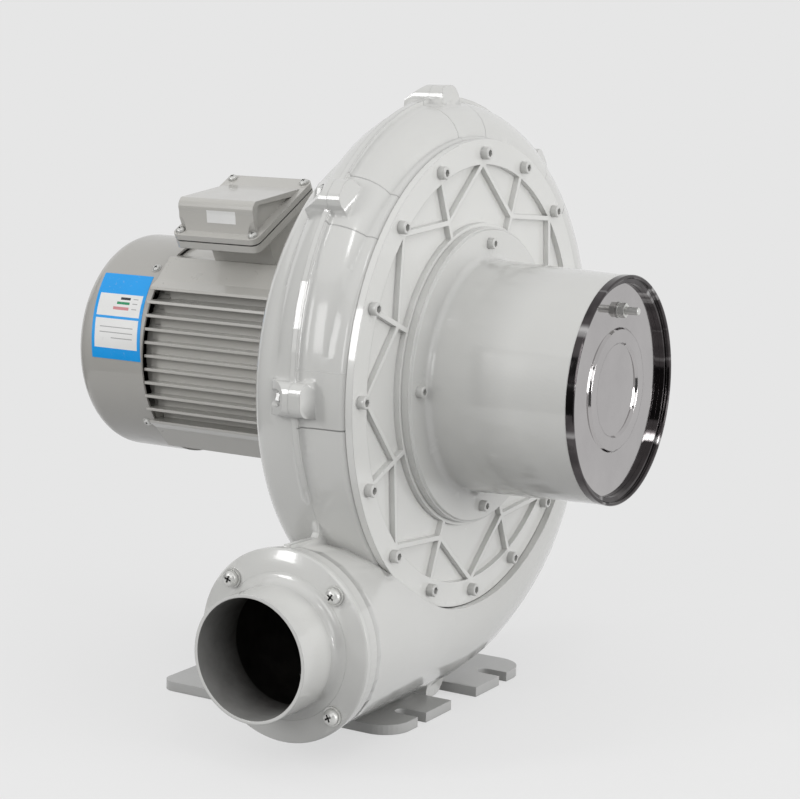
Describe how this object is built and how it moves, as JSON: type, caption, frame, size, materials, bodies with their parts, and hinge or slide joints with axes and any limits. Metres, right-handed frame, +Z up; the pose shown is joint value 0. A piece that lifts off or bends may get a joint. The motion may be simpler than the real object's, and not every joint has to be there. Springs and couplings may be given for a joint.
{
  "type": "centrifugal fan",
  "caption": "Cast scroll fan with a direct-drive finned motor behind it, a wide capped inlet pipe on the shaft axis and a flanged tangential outlet near the floor.",
  "frame": {"origin": "on the floor, straight below the shaft axis, in the plane where the two casing halves meet", "axes": "+X along the shaft out of the inlet, -Y out of the outlet, +Z up"},
  "size_m": [0.4782, 0.501, 0.501],
  "materials": {
    "cast_paint": "light grey enamel on castings",
    "screw_paint": "painted over with the casing",
    "motor_paint": "satin grey enamel",
    "cowl_paint": "satin grey enamel on sheet steel",
    "base_paint": "light grey enamel on steel plate",
    "polished": "mirror-polished stainless sheet",
    "zinc": "bright zinc plate",
    "bare_steel": "turned steel",
    "bare_aluminium": "bare sheet and casting",
    "copper": "varnished copper wire",
    "brass_posts": "turned brass",
    "black_rubber": "matt black rubber",
    "black_plastic": "moulded black plastic"
  },
  "bodies": {
    "housing": {"rear_casing": "cast_paint", "front_casing": "cast_paint", "clamp_bolts": "zinc", "inlet_cover": "cast_paint", "cover_screws": "screw_paint", "inlet_pipe": "cast_paint", "inlet_flange_screws": "screw_paint", "inlet_cone": "cast_paint", "outlet_spigot": "cast_paint", "outlet_gasket": "black_rubber", "outlet_screws": "zinc", "base_foot": "base_paint", "base_bolts": "zinc", "motor_frame": "motor_paint", "front_shield": "motor_paint", "shield_bolts": "zinc", "rear_shield": "motor_paint", "shield_screws": "zinc", "stator_core": "bare_steel", "stator_windings": "copper", "bearing_outer_rings": "bare_steel", "bearing_balls": "bare_steel", "shaft_seal": "black_rubber", "fan_cowl": "cowl_paint", "cowl_screws": "zinc", "terminal_box": "motor_paint", "terminal_gasket": "black_rubber", "terminal_lid": "motor_paint", "lid_screws": "zinc", "terminal_board": "black_plastic", "terminal_posts": "brass_posts", "cable_gland": "black_plastic"},
    "rotor": {"rotor_core": "bare_steel", "shaft": "bare_steel", "bearing_inner_rings": "bare_steel", "impeller_hub": "bare_aluminium", "impeller_back_plate": "bare_aluminium", "impeller_blades": "bare_aluminium", "impeller_shroud": "bare_aluminium", "impeller_key": "bare_steel", "impeller_nut": "zinc", "cooling_fan": "black_plastic"},
    "inlet_cap": {"inlet_cap_band": "polished", "inlet_cap_disc": "polished", "cap_stud": "zinc", "cap_nut": "zinc"}
  },
  "joints": [
    {"name": "rotor_spin", "type": "hinge", "parent": "housing", "child": "rotor", "pos_m": [0, 0, 0.273], "axis": [1, 0, 0], "continuous": true},
    {"name": "cap_slide", "type": "slide", "parent": "housing", "child": "inlet_cap", "axis": [1, 0, 0], "range_m": [0, 0.034]}
  ]
}
